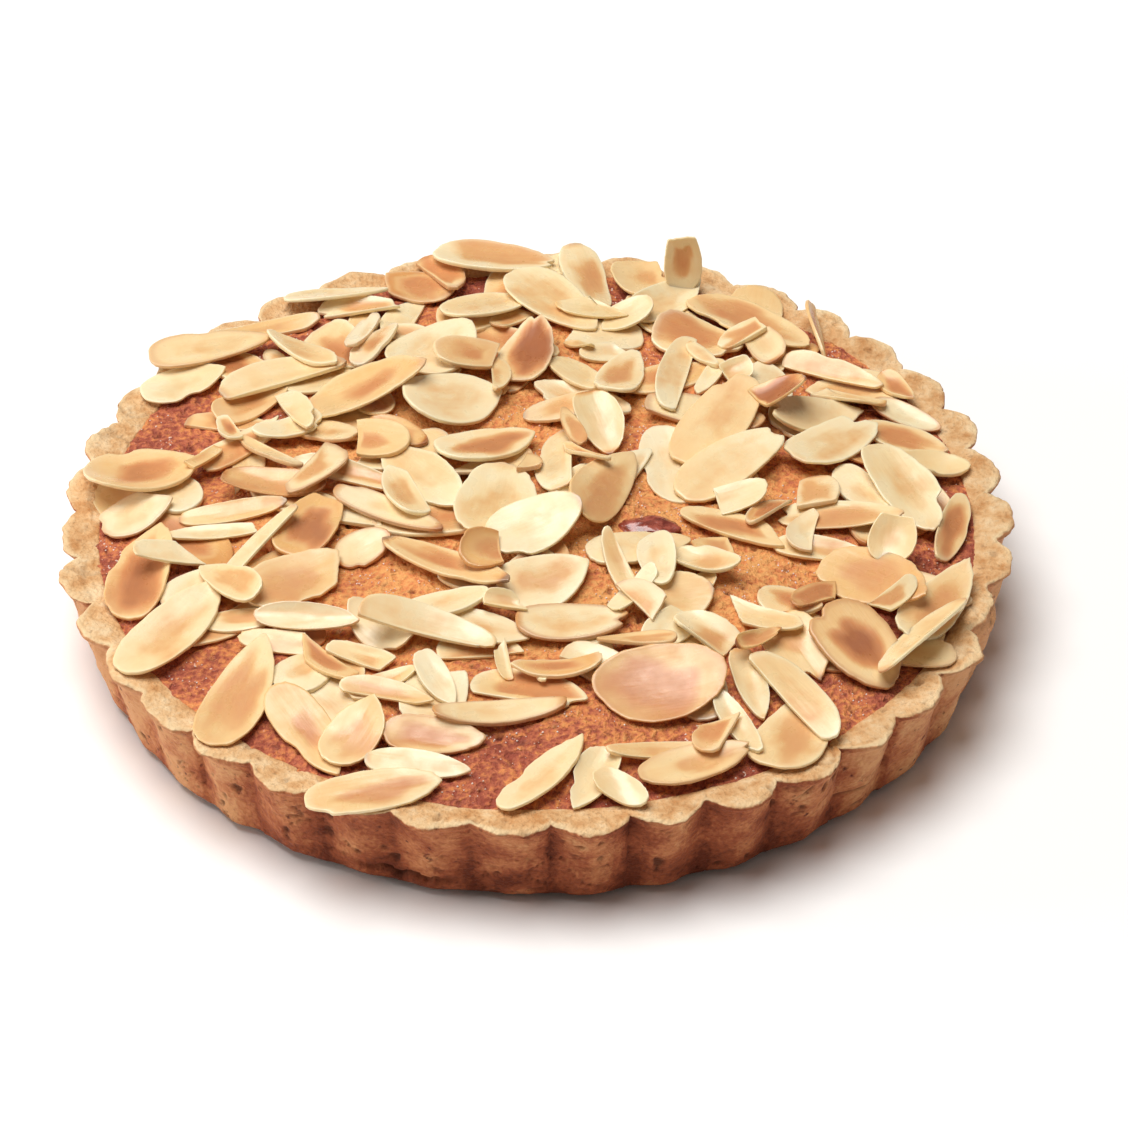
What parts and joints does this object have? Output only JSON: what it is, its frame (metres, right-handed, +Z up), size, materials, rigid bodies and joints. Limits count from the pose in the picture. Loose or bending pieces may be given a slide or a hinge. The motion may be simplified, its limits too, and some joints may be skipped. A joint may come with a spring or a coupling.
{
  "type": "raspberry almond tart",
  "caption": "Round fluted shortcrust tart with a low-domed baked almond filling, covered in loose overlapping toasted almond flakes.",
  "frame": {"origin": "centre of the underside, on the surface that the tart rests on", "axes": "+Z up, the picture's camera looks along +Y from above, +X to the picture's right"},
  "size_m": [0.1884, 0.1882, 0.036],
  "materials": {
    "crust": "baked shortcrust, dry and sandy, pale at the rim and browner on the wall",
    "filling": "baked almond sponge, orange-brown and porous, under pale to toasted almond flakes"
  },
  "bodies": {
    "root": {"pastry_crust": "crust", "almond_filling": "filling"}
  },
  "joints": []
}
